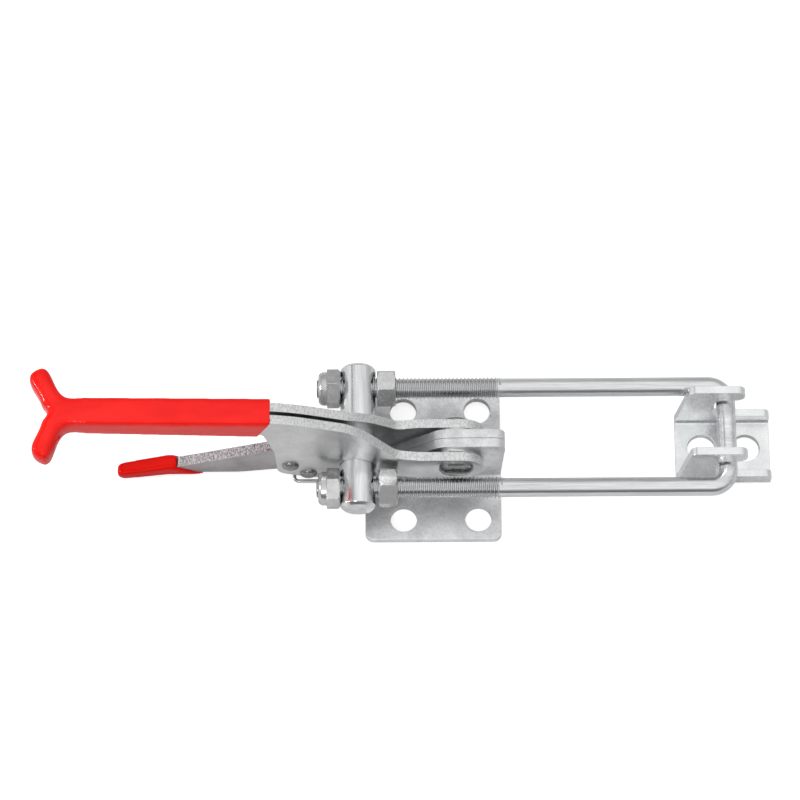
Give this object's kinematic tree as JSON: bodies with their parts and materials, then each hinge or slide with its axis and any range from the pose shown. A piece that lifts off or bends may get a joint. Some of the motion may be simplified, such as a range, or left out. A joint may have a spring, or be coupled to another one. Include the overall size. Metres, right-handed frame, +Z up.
{
  "type": "over centre toggle latch",
  "caption": "Horizontal over-centre toggle latch with an adjustable U-bolt, hooked keeper, dipped grip handle and a release lever, shown closed.",
  "frame": {"origin": "centre of the base's four bolt holes, on the mounting surface under the base", "axes": "+X from the handle towards the keeper along the pull, +Z up out of the mounting surface, near side at -Y"},
  "size_m": [0.2686, 0.0616, 0.0625],
  "materials": {
    "zinc_sheet": "bright zinc plated pressed steel with satin faces and rougher sheared edges",
    "zinc_turned": "bright zinc plated drawn and turned steel",
    "rivet_steel": "darker bright steel rivet heads",
    "spring_steel": "drawn spring wire",
    "red_vinyl": "dipped soft vinyl with a low gloss",
    "nylon": "pale nylon lock ring"
  },
  "bodies": {
    "base": {"base_near": "zinc_sheet", "base_far": "zinc_sheet", "pivot_rivet": "rivet_steel", "pivot_washer_near": "zinc_turned", "pivot_washer_far": "zinc_turned"},
    "handle": {"handle_plate_near": "zinc_sheet", "handle_plate_far": "zinc_sheet", "handle_grip": "red_vinyl", "lever_rivet": "rivet_steel", "stop_rivet": "rivet_steel", "lever_spring": "spring_steel"},
    "lever": {"release_lever": "zinc_sheet", "lever_grip": "red_vinyl"},
    "barrel": {"barrel": "zinc_turned"},
    "u_bolt": {"u_bolt": "zinc_turned"},
    "hex_nut_near": {"hex_nut_near": "zinc_turned"},
    "hex_nut_far": {"hex_nut_far": "zinc_turned"},
    "lock_nut_near": {"lock_nut_near": "zinc_turned", "lock_insert_near": "nylon"},
    "lock_nut_far": {"lock_nut_far": "zinc_turned", "lock_insert_far": "nylon"},
    "keeper": {"keeper": "zinc_sheet"}
  },
  "joints": [
    {"name": "handle_pivot", "type": "hinge", "parent": "base", "child": "handle", "pos_m": [0.0055, 0, 0.022], "axis": [0, 1, 0], "range_deg": [0, 95]},
    {"name": "barrel_pivot", "type": "hinge", "parent": "handle", "child": "barrel", "pos_m": [-0.0303, 0.0046, 0.0195], "axis": [0, 1, 0], "range_deg": [-72.1, 0]},
    {"name": "lever_pivot", "type": "hinge", "parent": "handle", "child": "lever", "pos_m": [-0.0551, 0, 0.0193], "axis": [0, 1, 0], "range_deg": [0, 12], "stiffness_Nm_per_rad": 0.15, "springref_deg": -20.05},
    {"name": "u_bolt_reach", "type": "slide", "parent": "barrel", "child": "u_bolt", "axis": [-1, 0, 0], "range_m": [0, 0.0178]},
    {"name": "keeper_place", "type": "slide", "parent": "base", "child": "keeper", "axis": [-1, 0, 0], "range_m": [0, 0.0178]},
    {"name": "nut_turn_near", "type": "hinge", "parent": "barrel", "child": "hex_nut_near", "pos_m": [-0.0194, -0.01495, 0.0195], "axis": [1, 0, 0], "range_deg": [0, 4541.27]},
    {"name": "nut_turn_far", "type": "hinge", "parent": "barrel", "child": "hex_nut_far", "pos_m": [-0.0199, 0.02415, 0.0195], "axis": [1, 0, 0], "range_deg": [0, 4541.27]},
    {"name": "lock_turn_near", "type": "hinge", "parent": "barrel", "child": "lock_nut_near", "pos_m": [-0.04085, -0.01495, 0.0195], "axis": [1, 0, 0], "range_deg": [0, 4541.27]},
    {"name": "lock_turn_far", "type": "hinge", "parent": "barrel", "child": "lock_nut_far", "pos_m": [-0.04085, 0.02415, 0.0195], "axis": [1, 0, 0], "range_deg": [0, 4541.27]}
  ],
  "couplings": [
    {"joint": "barrel_pivot", "follows": "handle_pivot", "ratio": -0.7585},
    {"joint": "keeper_place", "follows": "u_bolt_reach", "ratio": 1},
    {"joint": "nut_turn_near", "follows": "u_bolt_reach", "rad_per_m": 4452.7},
    {"joint": "nut_turn_far", "follows": "u_bolt_reach", "rad_per_m": 4452.7},
    {"joint": "lock_turn_near", "follows": "u_bolt_reach", "rad_per_m": 4452.7},
    {"joint": "lock_turn_far", "follows": "u_bolt_reach", "rad_per_m": 4452.7}
  ]
}
